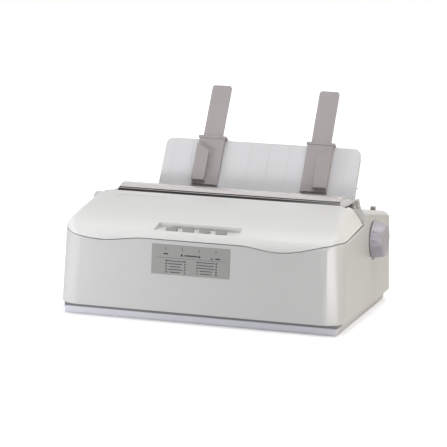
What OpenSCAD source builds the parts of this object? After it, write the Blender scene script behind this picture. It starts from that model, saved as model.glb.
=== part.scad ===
// Desk-top dot matrix printer with a wide impact mechanism, a lift-up access cover,
// a smoked paper cover and a leaning sheet support with two sliding edge guides.
// X runs to the right, Y to the rear, Z up. The origin is the bottom centre of the
// whole machine, with the platen knob counted in its width.

/* [Case] */
// Width of the upper case at its foot
case_w = 370; // [350:1:450]
// Depth of the upper case at its foot
case_d = 275.6; // [270:0.1:335]
// Height of the access cover's crown
crown_z = 147; // [143:0.5:160]
// Thickness of the moulded walls
wall = 2.5; // [2:0.1:3.2]
// Height of the base tray that shows below the upper case
tray_show = 15.3; // [12:0.1:20]
// How far the tray stands in from the upper case
tray_inset = 7.5; // [4:0.5:10]
// Gap along the seam of the access cover
seam_gap = 0.8; // [0.4:0.1:1.5]

/* [Paper path] */
// Radius of the platen roller
platen_r = 14; // [11:0.5:16]
// Length of the platen roller
platen_len = 276; // [230:1:280]
// Platen axis, measured back from the middle of the case
platen_y = 31; // [28:0.5:34]
// Height of the platen axis
platen_z = 97; // [94:0.5:99]
// Diameter of the platen knob
knob_d = 47; // [38:0.5:50]
// How far the platen knob stands out from the case
knob_out = 17.3; // [12:0.1:22]

/* [Sheet support] */
// Width of the sheet support
support_w = 266; // [240:1:290]
// Height of the sheet support, measured up its slope
support_h = 74; // [60:1:90]
// Lean of the sheet support from upright
support_lean = 30; // [24:1:34]
// Distance between the inner faces of the two edge guides
sheet_w = 148; // [100:1:180]
// Width of an edge guide
guide_w = 35; // [30:0.5:42]
// Width of an extending arm
arm_w = 27; // [20:0.5:27]
// Length of an arm that stands out above its guide
arm_out = 78; // [60:1:90]

/* [Controls] */
// Length of a button
button_l = 14; // [11:0.5:16]
// Distance between buttons
button_pitch = 21.3; // [19:0.1:23]
// Travel of a button
button_travel = 1.2; // [0.8:0.1:1.5]

/* [Mechanism] */
// Thickness of the steel side frames
frame_t = 2; // [1.5:0.1:2.5]
// Radius of the carriage rod
rod_r = 5; // [4:0.5:5]
// Width of the print carriage
carriage_w = 44; // [38:1:46]
// Radius of the belt pulleys
pulley_r = 8; // [6:0.5:9]
// Module of the paper feed gears
gear_module = 1; // [0.8:0.1:1.1]

/* [Hidden] */
$fn = 48;

// Fits
run_gap = 0.05;
slide_gap = 0.3;

// Case outline
half_w = case_w / 2;
half_d = case_d / 2;
draft = 2.8;
front_r = 28;
rear_r = 14;
foot_h = 1.2;
shoulder_r = 11;
cheek_lean = 35;
seam_rise = 4.4;
top_w = half_w - draft;
front_y = -half_d + draft;
back_y = half_d - draft;
split_y = -20;
cheek_z = 111;
crown_foot = 104;
crown_power = 1.7;
deck_top = 142;
deck_fall = 8.5;
deck_r = 34;
crown_r = 16;
cover_gap = 1;
seam_open = 0.5;

// Paper slot and smoked cover
slot_half = half_w - 34.7;
slot_rear = platen_y + 35;
lip_y = -27.4;
lip_z = 143;
lip_t = 1.9;
lip_half = slot_half + 4.7;
smoke_half = slot_half - 2.3;
smoke_rear = platen_y + 7;
smoke_rise = 9;
smoke_t = 2.2;
smoke_pin_y = platen_y + 3;
smoke_pin_z = 139;
pin_r = 2;

// Access cover hinge
lid_pin_y = -27;
lid_pin_z = 139;
lid_lug_x = slot_half + 6.9;
lug_t = 3;

// Sheet support, in its own leaning frame
support_t = 2.5;
groove_pitch = 26.3;
groove_edge = 12;
groove_w = 0.9;
groove_d = 0.4;
peg_r = 1.6;
peg_up = 21;
support_x = 17;
foot_y = platen_y + 16.1;
foot_z = 141;
pivot_back = 4.2;
pivot_up = 2.4;
pivot_y = foot_y + pivot_back * cos(support_lean) + pivot_up * sin(support_lean);
pivot_z = foot_z - pivot_back * sin(support_lean) + pivot_up * cos(support_lean);
support_x0 = support_x - support_w / 2;
support_x1 = support_x + support_w / 2;
guide_t = 5;
stop_h = 6;
sheet_mid = 22;
left_guide_x = sheet_mid - sheet_w / 2 - guide_w / 4 + 8.75;
right_guide_x = sheet_mid + sheet_w / 2 + guide_w / 4 - 8.75;
arm_t = 2;
arm_tail = 18;
guide_foot = 8;

// Front panel
panel_x = -7;
recess_l = -57;
recess_r = 50;
recess_slant = 7;
recess_y = -half_d + 21.8;
recess_z = 116;
recess_fall = 6.5;
tub_z = 112;
button_w = 6;
button_y = recess_y - 6.2;
button_z = recess_z + 1.4;
button_h = 7;
board_t = 1.6;
switch_h = 2.2;
label_w = 101;
label_h = 37;
label_x = -9.5;
label_z = 81;
label_sink = 0.5;
label_t = 0.7;
badge_x = -104;
badge_w = 64;
badge_d = 14;

// Mechanism layout
frame_x = half_w - 35;
frame_in = frame_x - frame_t;
bush_r = 7;
shaft_r = 4;
rod_y = platen_y - 53;
rod_z = 66;
chassis_z = 20;
chassis_t = 1.5;
rail_y = rod_y - 42;
rail_z = 50;
belt_y = rod_y - 14;
belt_z0 = 49;
belt_w = 6;
belt_t = 1.2;
pulley_x = frame_in - 32;
home_x = -(pulley_x - 16);
head_r = 19;
ribbon_w = 13;
cartridge_z = 88;
cartridge_h = 16;
cartridge_y0 = rod_y - 78;
cartridge_y1 = rod_y - 28;
cartridge_arm_x = pulley_x + 8;

// Paper feed gears
platen_teeth = 42;
idler_teeth = 36;
pinion_teeth = 12;
idler_turn = -50;
pinion_turn = -60;
gear_w = 5;
gear_x = -(frame_x + 1) - gear_w;
idler_y = platen_y + (platen_teeth + idler_teeth) * gear_module / 2 * cos(idler_turn);
idler_z = platen_z + (platen_teeth + idler_teeth) * gear_module / 2 * sin(idler_turn);
pinion_y = idler_y + (idler_teeth + pinion_teeth) * gear_module / 2 * cos(pinion_turn);
pinion_z = idler_z + (idler_teeth + pinion_teeth) * gear_module / 2 * sin(pinion_turn);
idler_phase = idler_turn + 180 + 180 / idler_teeth;
idler_pitch = 360 / idler_teeth;
mesh_share = (((pinion_turn - idler_phase) % idler_pitch) + idler_pitch) % idler_pitch / idler_pitch;
pinion_phase = pinion_turn + 180 - (0.5 - mesh_share) * 360 / pinion_teeth;
pinch_r = 5;
pinch_turn = -60;
pinch_y = platen_y + (platen_r + pinch_r + slide_gap) * cos(pinch_turn);
pinch_z = platen_z + (platen_r + pinch_r + slide_gap) * sin(pinch_turn);

// Rear panel and boards
board_z = 8;
port_x = -70;
inlet_x = 128;
switch_x = 92;
rear_hole_z = 38;
flange_seat = 1;
post_in = 22;
lever_x = half_w - 18;
lever_y = 90;
lever_z = 62;
lever_top = 130.5;

// Distance from the machine's middle to the case's middle
frame_shift = -(knob_out - draft) / 2;

// ---- Outline helpers ----

function unit(v) = v / norm(v);

// Points of an arc that rounds corner b between a and c
function fillet(a, b, c, r, n) =
    let (u = unit(a - b), v = unit(c - b), half = acos(u * v) / 2)
    let (mid = b + unit(u + v) * r / sin(half), p = b + u * r / tan(half) - mid)
    let (q = b + v * r / tan(half) - mid, a0 = atan2(p[1], p[0]), turn = atan2(q[1], q[0]) - a0)
    let (sweep = turn > 180 ? turn - 360 : turn < -180 ? turn + 360 : turn)
    [for (i = [0:n]) mid + r * [cos(a0 + sweep * i / n), sin(a0 + sweep * i / n)]];

// Closed outline of corners [x, y, radius]
function rounded(pts, n = 6) = [
    for (i = [0:len(pts) - 1])
        let (p = pts[i], a = pts[(i + len(pts) - 1) % len(pts)], c = pts[(i + 1) % len(pts)])
        each p[2] > 0
            ? fillet([a[0], a[1]], [p[0], p[1]], [c[0], c[1]], p[2], n)
            : [[p[0], p[1]]]
];

// ---- Placing helpers ----

// Extrudes a (Y, Z) outline along X
module along_x(x, t) {
    translate([x, 0, 0]) rotate([90, 0, 90]) linear_extrude(t) children();
}

// Extrudes an (X, Z) outline along Y
module along_y(y, t) {
    translate([0, y + t, 0]) rotate([90, 0, 0]) linear_extrude(t) children();
}

module bar_x(r, x0, x1, y, z) {
    translate([x0, y, z]) rotate([0, 90, 0]) cylinder(r = r, h = x1 - x0);
}

module bar_y(r, y0, y1, x, z) {
    translate([x, y1, z]) rotate([90, 0, 0]) cylinder(r = r, h = y1 - y0);
}

module slab(x, y, z) {
    translate([x[0], y[0], z[0]]) cube([x[1] - x[0], y[1] - y[0], z[1] - z[0]]);
}

// Block with round upright corners, centred on the Z axis
module round_block(w, d, h, r) {
    translate([-w / 2 + r, -d / 2, 0]) cube([w - 2 * r, d, h]);
    translate([-w / 2, -d / 2 + r, 0]) cube([w, d - 2 * r, h]);
    for (sx = [-1, 1], sy = [-1, 1])
        translate([sx * (w / 2 - r), sy * (d / 2 - r), 0]) cylinder(r = r, h = h);
}

module mirror_pair() {
    children();
    mirror([1, 0, 0]) children();
}

// ---- Case surface: a drafted plan form, trimmed by a side profile and a front profile ----

wall_slope = draft / (crown_foot - tray_show);
form_top = 170;

// Half width and half depth at height z, inset by t
function width_at(z, t = 0) = half_w - t - wall_slope * (z - tray_show);
function depth_at(z, t = 0) = half_d - t - wall_slope * (z - tray_show);

// Tapered body on a plan with round corners
module plan_form(t, foot) {
    w = width_at(foot, t);
    d = depth_at(foot, t);
    translate([0, 0, foot])
        linear_extrude(form_top - foot, slices = 1,
            scale = [width_at(form_top, t) / w, depth_at(form_top, t) / d])
            polygon(rounded([[-w, -d, front_r - t], [w, -d, front_r - t], [w, d, rear_r - t],
                [-w, d, rear_r - t]], 8));
}

// Crown of the front half: a superellipse from the front wall up to the top, inset by t
function crown(y, t = 0) = let (u = max(0, min(1, (split_y - y) / (split_y - front_y - t))))
    crown_foot + (crown_z - crown_foot - t) * pow(1 - pow(u, crown_power), 1 / crown_power);

// Half section of the front at y, from the seam up: an upright wall, a leaning cheek and a rounded top edge
function front_section(y, w, top, t) =
    let (k = cheek_z + (y + half_d) * tan(seam_rise) - t * tan(cheek_lean / 2))
    let (reach = max(0, top - k) * tan(cheek_lean), r = min(shoulder_r - t, max(0.5, (top - crown_foot) / 2)))
    top > k + shoulder_r
        ? rounded([[w, 60, 0], [w, k, r], [w - reach, top, crown_r - t], [0, top, 0]], 3)
        : rounded([[w, 60, 0], [w - reach, top, r], [0, top, 0]], 4);

// Front half of the case, inset by t: one skin drawn over its sections and its foot
module front_form(t = 0, foot = tray_show, end = split_y) {
    r = front_r - t;
    corner = [for (a = [0:18:90]) [front_y + front_r - r * cos(a), top_w - front_r + r * sin(a)]];
    rest = [for (y = [-98, -86, -72, -55, -38, end]) [y, top_w - t]];
    ribs = [for (s = concat(corner, rest), m = [-1, 1], p = front_section(s[0], s[1], crown(s[0], t), t))
        if (p[0] > 0 && p[1] > 60) [m * p[0], s[0], p[1]]];
    w = half_w - t;
    d = half_d - t;
    base = [for (p = rounded([[-w, -d, front_r - t], [w, -d, front_r - t], [w, end, 0], [-w, end, 0]], 5))
        [p[0], p[1], foot]];
    points = concat(ribs, base);
    hull() polyhedron(points, [for (i = [0:len(points) - 3]) [i, i + 1, i + 2]]);
}

// Deck behind the cover: it falls to the rear and rounds over into the back wall
function deck(y, t = 0) = deck_top - t - (y - split_y) * tan(deck_fall);

module deck_profile(t, foot, start) {
    polygon(rounded([[start, foot - 1, 0], [depth_at(foot, t) + 0.2, foot - 1, 0],
        [back_y - t + 0.2, deck(back_y, t), deck_r - t], [start, deck(start, t), 0]], 10));
}

module shoulder_profile(t, foot) {
    w = width_at(deck_top, t) + 0.2;
    h = deck_top - t + 0.2;
    polygon(rounded([[-width_at(foot, t) - 1, foot - 25, 0], [width_at(foot, t) + 1, foot - 25, 0],
        [w, h, shoulder_r - t], [-w, h, shoulder_r - t]]));
}

// Rear half of the case, inset by t
module rear_form(t = 0, foot = tray_show, start = split_y) {
    intersection() {
        plan_form(t, foot);
        along_x(-half_w - 5, case_w + 10) deck_profile(t, foot, start);
        translate([0, split_y, 0]) rotate([-deck_fall, 0, 0])
            along_y(-30, half_d + 60) shoulder_profile(t, foot);
    }
}

// Height of the seam across the front, as eased steps between knots
wave = [[-half_w - 20, 108], [-half_w + 57, 99], [-70, 104.3], [52, 104.3], [half_w - 84, 99.2],
    [half_w, 113], [half_w + 20, 113]];
function ease(a, b, x) = a[1] + (b[1] - a[1]) * (1 - cos(180 * (x - a[0]) / (b[0] - a[0]))) / 2;
wave_line = [for (i = [0:len(wave) - 2], s = [0:5])
    let (x = wave[i][0] + (wave[i + 1][0] - wave[i][0]) * s / 6) [x, ease(wave[i], wave[i + 1], x)]];

// Everything above the seam and in front of y = rear, shifted up by lift and tilted by open
module above_seam(lift, rear, open = 0) {
    intersection() {
        translate([0, -half_d, lift]) rotate([seam_rise + open, 0, 0]) along_y(-30, half_d + 60)
            polygon(concat(wave_line, [[half_w + 20, 113], [half_w + 20, 200], [-half_w - 20, 200]]));
        slab([-half_w - 10, half_w + 10], [-half_d - 10, rear], [80, 200]);
    }
}

// ---- Base tray, feet and case screws ----

post_x = half_w - post_in;
post_y = half_d - post_in;
screw_r = 2;
screw_gap = 0.1;
tray_w = case_w - 2 * tray_inset;
tray_d = case_d - 2 * tray_inset;
tray_r = 20;
tray_corner = max(3, ((front_r - tray_inset) * sqrt(2) - front_r + 0.3) / (sqrt(2) - 1));
rim_h = 4;
tray_floor = 2.5;
tray_top = foot_h + tray_floor;
post_z = 12;
foot_pos = [for (sx = [-1, 1], sy = [-1, 1]) [sx * (half_w - 40), sy * (half_d - 30)]];
foot_r = 8;

// Tray with a floor, screw posts, ribs and cooling slots
module base_tray() color([0.74, 0.73, 0.76]) {
    difference() {
        intersection() {
            union() {
                translate([0, 0, foot_h]) round_block(tray_w, tray_d, tray_show - foot_h, tray_corner);
                translate([0, 0, tray_show - wall]) round_block(tray_w, tray_d, rim_h + wall, tray_r);
            }
            along_y(-half_d, case_d) tray_side(tray_w / 2);
            along_x(-half_w, case_w) tray_side(tray_d / 2);
        }
        translate([0, 0, tray_top]) {
            round_block(tray_w - 2 * wall, tray_d - 2 * wall, tray_show - wall - tray_top, tray_corner);
            round_block(tray_w - 2 * wall, tray_d - 2 * wall, tray_show + rim_h, tray_r - wall);
        }
        for (p = foot_pos) translate([p[0], p[1], 0]) cylinder(r = foot_r + run_gap, h = foot_h + 1.2);
        for (sx = [-1, 1], sy = [-1, 1]) translate([sx * post_x, sy * post_y, 0]) {
            cylinder(r = screw_r + screw_gap, h = post_z + 1);
            cylinder(r = 2 * screw_r + 0.2, h = tray_top);
        }
        for (i = [-5:5], sy = [-1, 1]) translate([i * 18, sy * 62, 0]) floor_slot();
        slab([port_x - 34, port_x + 34], [half_d - tray_inset - wall - 1, half_d], [tray_show, 30]);
    }
    for (sx = [-1, 1], sy = [-1, 1]) translate([sx * post_x, sy * post_y, 0]) difference() {
        translate([0, 0, tray_top]) cylinder(r = 6, h = post_z - tray_top);
        cylinder(r = screw_r + screw_gap, h = post_z + 1);
    }
    for (p = board_posts) translate([p[0], p[1], tray_top - 0.5]) cylinder(r = 3.5,
        h = board_z - tray_top + 0.5);
    for (p = chassis_posts) translate([p[0], p[1], tray_top - 0.5]) cylinder(r = 5,
        h = chassis_z - tray_top + 0.5);
    for (y = [-half_d + 22, half_d - 22]) slab([-post_x + 12, post_x - 12], [y - 1, y + 1],
        [tray_top - 0.5, 6]);
}

// Side of the tray, with a chamfered foot
module tray_side(h) {
    polygon([[-h + 2, foot_h], [h - 2, foot_h], [h - 0.6, foot_h + 2.4], [h, tray_show], [h, tray_show + 4],
        [-h, tray_show + 4], [-h, tray_show], [-h + 0.6, foot_h + 2.4]]);
}

// Cooling slot through the floor
module floor_slot() {
    translate([-2, -12, 0]) cube([4, 24, 6]);
    for (s = [-1, 1]) translate([0, s * 12, 0]) cylinder(r = 2, h = 6);
}

// Four feet pressed into recesses of the tray
module rubber_feet() color([0.2, 0.2, 0.22])
    for (p = foot_pos) translate([p[0], p[1], 0]) rotate_extrude()
        polygon([[0, 0], [foot_r - 1.2, 0], [foot_r - 0.4, 0.4], [foot_r, 1.2], [foot_r, foot_h + 1.2],
            [0, foot_h + 1.2]]);

// Cross-head screws that hold the upper case to the tray
module case_screws() color("silver")
    for (sx = [-1, 1], sy = [-1, 1]) translate([sx * post_x, sy * post_y, 0]) difference() {
        union() {
            translate([0, 0, tray_top - 2.2]) cylinder(r = 2 * screw_r, h = 2.2);
            translate([0, 0, tray_top - 0.5]) cylinder(r = screw_r, h = 30);
        }
        for (a = [0, 90]) translate([0, 0, tray_top - 2.2]) rotate(a) cube([5, 0.9, 2], center = true);
    }

// ---- Upper case ----

// Shell with hinge ears, the paper slot and its wall openings
module upper_case() color([0.87, 0.87, 0.88]) difference() {
    union() {
        difference() {
            union() {
                difference() {
                    front_form(0, tray_show, split_y + 1);
                    above_seam(-seam_gap / 2, split_y + 2);
                }
                rear_form();
            }
            front_form(wall, tray_show - 1, split_y);
            rear_form(wall, tray_show - 1, split_y - 1);
            slab([-slot_half, slot_half], [split_y - 5, slot_rear], [110, 160]);
        }
        case_posts();
        mirror_pair() {
            lid_lug();
            along_x(slot_half + 0.3, 4.5) bracket(smoke_pin_y, smoke_pin_z, 3.7, 126, 12);
        }
        along_x(support_x1 + slide_gap, slot_half + 6 - support_x1) bracket(pivot_y, pivot_z, 4, 126, 14);
        along_x(support_x0 - slide_gap - 3.8, 3.8) support_tongue();
        // Stiffening wall round the rear of the paper slot
        slab([-slot_half - wall, slot_half + wall], [slot_rear, slot_rear + wall],
            [deck(slot_rear) - 14, deck(slot_rear + wall) - 1]);
    }
    mirror_pair() {
        bar_x(pin_r + run_gap, lid_lug_x - 1, lid_lug_x + lug_t + 1, lid_pin_y, lid_pin_z);
        bar_x(pin_r + run_gap, slot_half - 1, slot_half + 6, smoke_pin_y, smoke_pin_z);
    }
    for (x = [support_x0 - 6, support_x1 - 1])
        bar_x(pin_r + run_gap, x, x + 7, pivot_y, pivot_z);
    case_openings();
}

// Ear of a hinge: a round end on a foot that stands in the deck
module bracket(y, z, r, foot, depth) {
    translate([y, z]) circle(r = r);
    polygon([[y - r, z], [y - r, foot + 6], [y - r + depth / 3, foot], [y + depth, foot],
        [y + depth, foot + 4], [y + r, z]]);
}

// Tongue that carries the left pivot of the sheet support
module support_tongue() {
    translate([pivot_y, pivot_z]) circle(r = 4);
    polygon([[pivot_y - 4, pivot_z], [pivot_y - 4, pivot_z - 6], [slot_rear + 4, pivot_z - 14],
        [slot_rear + 4, deck(slot_rear + 4) - 1], [slot_rear, deck(slot_rear) - 1],
            [pivot_y + 4, pivot_z]]);
}

// Lug that carries a hinge pin of the access cover
module lid_lug() {
    along_x(lid_lug_x, lug_t) {
        translate([lid_pin_y, lid_pin_z]) circle(r = 4);
        polygon([[lid_pin_y - 4, lid_pin_z], [lid_pin_y, lid_pin_z - 4], [lid_pin_y + 22, lid_pin_z - 9],
            [lid_pin_y + 22, lid_pin_z - 1], [split_y + wall + 0.5, lid_pin_z + 1.2],
            [split_y + wall - 1, lid_pin_z], [lid_pin_y, lid_pin_z]]);
    }
}

// Screw posts in the four corners, each tied to the side wall
module case_posts() {
    for (sx = [-1, 1], sy = [-1, 1]) translate([sx * post_x, sy * post_y, 0]) difference() {
        union() {
            translate([0, 0, post_z]) cylinder(r = 5.5, h = 32);
            slab([sx > 0 ? 0 : -post_in + 2, sx > 0 ? post_in - 2 : 0], [-1.2, 1.2],
                [post_z + 8, post_z + 32]);
        }
        translate([0, 0, post_z - 1]) cylinder(r = screw_r + screw_gap, h = 28);
    }
}

// Openings in the walls: knob, lever, sockets, label recess and vents
module case_openings() {
    bar_x(knob_d / 2 + 3, top_w - 1, half_w + 5, platen_y, platen_z);
    bar_x(7.5, top_w - 8, half_w + 5, platen_y, platen_z);
    slab([lever_x - 3.2, lever_x + 3.2], [lever_y - 21, lever_y + 7], [100, 150]);
    slab([port_x - 31, port_x + 31], [back_y - 6, half_d + 1],
        [board_z + board_t + 8, board_z + board_t + 28]);
    slab([inlet_x - 14, inlet_x + 14], [back_y - 6, half_d + 1], [rear_hole_z - 10.5, rear_hole_z + 10.5]);
    slab([switch_x - 10, switch_x + 10], [back_y - 6, half_d + 1], [rear_hole_z - 7, rear_hole_z + 7]);
    slab([inlet_x - 16.1, inlet_x + 16.1], [back_y + flange_seat, half_d + 1],
        [rear_hole_z - 12.6, rear_hole_z + 12.6]);
    slab([switch_x - 11.6, switch_x + 11.6], [back_y + flange_seat, half_d + 1],
        [rear_hole_z - 8.6, rear_hole_z + 8.6]);
    on_front_wall() slab([-label_w / 2 - 0.2, label_w / 2 + 0.2], [-1, label_sink],
        [-label_h / 2 - 0.2, label_h / 2 + 0.2]);
    for (i = [0:7]) slab([-half_w - 1, -top_w + wall + 3], [20 + i * 12, 23 + i * 12], [40, 84]);
}

// Frame on the sloping front wall: origin at the label's middle
module on_front_wall() {
    translate([label_x, -depth_at(label_z), label_z]) rotate([-atan(wall_slope), 0, 0]) children();
}

// Film label in its recess on the front wall
module front_label() color([0.65, 0.66, 0.65])
    on_front_wall() slab([-label_w / 2, label_w / 2], [label_sink - label_t, label_sink],
        [-label_h / 2, label_h / 2]);

// ---- Access cover ----

// Lift-up cover: a shell with the button recess, two hinge arms and pins
module access_cover() color([0.94, 0.94, 0.93]) difference() {
    union() {
        difference() {
            intersection() {
                front_form();
                above_seam(seam_gap / 2, split_y - cover_gap, seam_open);
            }
            front_form(wall, tray_show - 1, split_y + 1);
            slab([-lip_half - 1.3, lip_half + 1.3], [lip_y - 1.6, split_y + 5], [110, 160]);
            bar_x(6.9, -lip_half - 1.3, lip_half + 1.3, lid_pin_y, lid_pin_z);
            mirror_pair() rear_relief();
        }
        intersection() {
            front_form();
            slab([recess_l - recess_slant - 4, recess_r + wall], [front_y - 1, recess_y + wall],
                [tub_z, 150]);
            above_seam(seam_gap / 2, split_y, seam_open);
        }
        mirror_pair() intersection() {
            bar_x(4.4, lid_lug_x + lug_t + slide_gap, half_w, lid_pin_y, lid_pin_z);
            front_form(wall / 2);
        }
        mirror_pair() bar_x(pin_r, lid_lug_x + 0.2, lid_lug_x + lug_t + 2, lid_pin_y, lid_pin_z);
        for (x = board_screws) translate([x, button_y + 1, button_board_z + board_t])
            cylinder(r = 2.5, h = tub_z - button_board_z - board_t + 0.5);
    }
    recess_cutter();
    for (i = [0:3]) translate([button_x(i), button_y, tub_z - 5])
        round_block(button_l + 2 * slide_gap, button_w + 2 * slide_gap, 20, 1.5);
    translate([badge_x, -55, crown(-55)]) rotate([atan((crown(-48) - crown(-62)) / 14), 0, 0])
        slab([-badge_w / 2, badge_w / 2], [-badge_d / 2, badge_d / 2], [-0.7, 6]);
}

// Rounds the rear top corner of the cover about its hinge, and clears the lug
module rear_relief() {
    difference() {
        slab([lip_half, half_w], [lid_pin_y, split_y + 1], [lid_pin_z, 160]);
        bar_x(6.3, lip_half - 1, half_w + 1, lid_pin_y, lid_pin_z);
    }
    slab([lid_lug_x - slide_gap, lid_lug_x + lug_t + slide_gap], [lid_pin_y - 8, split_y],
        [lid_pin_z, 160]);
}

// Space over the slanted floor that holds the buttons
module recess_cutter() {
    intersection() {
        along_x(recess_l - recess_slant - 1, recess_r - recess_l + recess_slant + 1)
            polygon([[front_y - 10, recess_z - (recess_y - front_y + 10) * tan(recess_fall)],
                [recess_y - 1.5, recess_z], [recess_y, recess_z + 1.5], [recess_y, 160],
                    [front_y - 10, 160]]);
        linear_extrude(200) polygon([[recess_l - recess_slant, front_y], [recess_r, front_y],
            [recess_r, recess_y], [recess_l, recess_y]]);
    }
}

function button_x(i) = panel_x + (i - 1.5) * button_pitch;

// Button cap with a groove across its top
module button(i) color([0.8, 0.8, 0.79])
    translate([button_x(i), button_y, button_z + 1.6 - button_h]) difference() {
        round_block(button_l, button_w, button_h, 1.2);
        translate([0, 0, button_h]) rotate([0, 90, 0])
            cylinder(r = 0.35, h = button_l - 4, center = true);
    }

button_foot = button_z + 1.6 - button_h;
button_board_z = button_foot - button_travel - 0.1 - switch_h - board_t;
board_screws = [button_x(0) - 13, button_x(3) + 15];

// Board under the buttons with a switch for each
module switch_board() color([0.1, 0.35, 0.2]) {
    difference() {
        slab([board_screws[0] - 4, board_screws[1] + 4], [front_y + wall + 2, button_y + 5],
            [button_board_z, button_board_z + board_t]);
        for (x = board_screws) translate([x, button_y + 1, 0]) cylinder(r = 1.2, h = 200);
    }
    for (i = [0:3]) translate([button_x(i), button_y, button_board_z + board_t]) {
        round_block(6, 6, switch_h - 0.8, 0.4);
        cylinder(r = 1.7, h = switch_h);
    }
}

// ---- Smoked cover over the platen ----

// Arched window plate with a flat rim and two hinge ears
module smoked_cover() color([0.25, 0.22, 0.23, 0.75]) {
    difference() {
        union() {
            translate([0, (lip_y + smoke_rear) / 2, lip_z])
                round_block(2 * lip_half, smoke_rear - lip_y, lip_t, 3);
            along_x(-smoke_half, 2 * smoke_half) smoke_arch(0);
        }
        along_x(-smoke_half + smoke_t, 2 * (smoke_half - smoke_t)) smoke_arch(smoke_t);
        slab([-smoke_half + smoke_t, smoke_half - smoke_t], [lip_y + 9, smoke_rear + 1],
            [lip_z - 1, lip_z + 2.6]);
    }
    mirror_pair() {
        along_x(slot_half - 3.2, 2.8) hull() {
            translate([smoke_pin_y, smoke_pin_z]) circle(r = 3.2);
            translate([smoke_pin_y - 4, lip_z]) square([7, 1]);
        }
        bar_x(pin_r, slot_half - 1, slot_half + 4.4, smoke_pin_y, smoke_pin_z);
    }
}

// Arched section of the raised middle, inset by t
module smoke_arch(t) {
    n = 20;
    span = smoke_rear - lip_y - 7;
    base = lip_z + lip_t;
    peak = 0.42;
    top = [for (i = [0:n]) let (u = i / n, s = pow(u, log(0.5) / log(peak)))
        [lip_y + 7 + t + u * (span - (t > 0 ? t - 1 : 0)),
            base + (smoke_rise - t) * sin(180 * s) * (1 - 0.35 * u)
            + (t > 0 ? -0.4 : 1.6 * u)]];
    polygon(concat([[lip_y + 7 + t, lip_z - (t > 0 ? 1 : 0)]], top,
        [[smoke_rear + (t > 0 ? 1 : 0), lip_z - (t > 0 ? 1 : 0)]]));
}

// ---- Sheet support, edge guides and arms ----

// Frame of the leaning sheet support
module on_support() {
    translate([0, foot_y, foot_z]) rotate([-support_lean, 0, 0]) children();
}

// Leaning plate with shallow panel grooves, two end walls and its pivot pins
module sheet_support() color([0.86, 0.86, 0.89, 0.85]) on_support() {
    difference() {
        along_y(0, support_t) polygon(rounded([[support_x0, 0, 2], [support_x1, 0, 2],
            [support_x1, support_h, 9], [support_x0, support_h, 9]], 8));
        for (x = [support_x0 + groove_edge:groove_pitch:support_x1 - groove_edge / 2])
            slab([x, x + groove_w], [-1, groove_d], [6, support_h - 3]);
    }
    for (x = [support_x0, support_x1 - support_t]) along_x(x, support_t) {
        polygon([[0.5, 0.5], [8, 4], [7, support_h - 14], [0.5, support_h - 9]]);
        translate([pivot_back, pivot_up]) circle(r = 3.8);
    }
    for (s = [[support_x0 - 3.6, support_x0 + 1], [support_x1 - 1, support_x1 + 3.6]])
        bar_x(pin_r, s[0], s[1], pivot_back, pivot_up);
    // Peg that stops the plate's end wall
    bar_x(peg_r, support_x1 - 1, support_x1 + 2, 4, peg_up);
}

// Edge guide with its stop on the outer side; x is its middle and s its outer side
module edge_guide(x, s) color([0.69, 0.67, 0.67]) on_support()
        translate([x, 0, 0]) flipped(s) difference() {
    union() {
        slab([-guide_w / 2, guide_w / 2], [-slide_gap - guide_t, -slide_gap], [guide_foot, support_h + 3]);
        // Raised edge stop with a slanted top
        along_y(-slide_gap - guide_t - stop_h, stop_h + 0.5)
            polygon([[-guide_w / 2, guide_foot + 4], [0.5, guide_foot + 4], [0.5, support_h - 22],
                [-1, support_h - 19.5], [-guide_w / 2, support_h - 9.5]]);
        // Grip bar that hooks over the top of the support
        slab([-guide_w / 2 - 1.5, guide_w / 2 + 1.5], [-slide_gap - guide_t - 0.8, support_t + 3],
            [support_h + slide_gap, support_h + 3.6]);
        slab([-guide_w / 2, guide_w / 2], [support_t + slide_gap, support_t + 3],
            [support_h - 8, support_h + 2]);
    }
    slab([-arm_w / 2 - slide_gap, arm_w / 2 + slide_gap], [-slide_gap - guide_t / 2 - arm_t / 2 - 0.25,
        -slide_gap - guide_t / 2 + arm_t / 2 + 0.25], [guide_foot + 1.5, support_h + 10]);
}

// Mirrors the right-hand guide
module flipped(s) {
    if (s > 0) mirror([1, 0, 0]) children();
    else children();
}

// Flat arm that slides up out of its guide
module guide_arm(x) color([0.7, 0.68, 0.68]) on_support()
    along_y(-slide_gap - guide_t / 2 - arm_t / 2, arm_t)
        polygon(rounded([[x - arm_w / 2, support_h - arm_tail, 1], [x + arm_w / 2, support_h - arm_tail, 1],
            [x + arm_w / 2, support_h + arm_out, 4], [x - arm_w / 2, support_h + arm_out, 4]]));

module left_guide() edge_guide(left_guide_x, -1);
module right_guide() edge_guide(right_guide_x, 1);
module left_arm() guide_arm(left_guide_x);
module right_arm() guide_arm(right_guide_x);

// ---- Platen and paper feed ----

// Rubber sleeve of the platen
module platen_roller() color([0.13, 0.13, 0.14])
    translate([-platen_len / 2, platen_y, platen_z]) rotate([0, 90, 0]) rotate_extrude()
        polygon([[shaft_r + run_gap, 0], [platen_r - 0.8, 0], [platen_r, 0.8], [platen_r, platen_len - 0.8],
            [platen_r - 0.8, platen_len], [shaft_r + run_gap, platen_len]]);

// Steel shaft of the platen
module platen_shaft() color("silver")
    bar_x(shaft_r, gear_x - 3, top_w + knob_out - 5, platen_y, platen_z);

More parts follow.
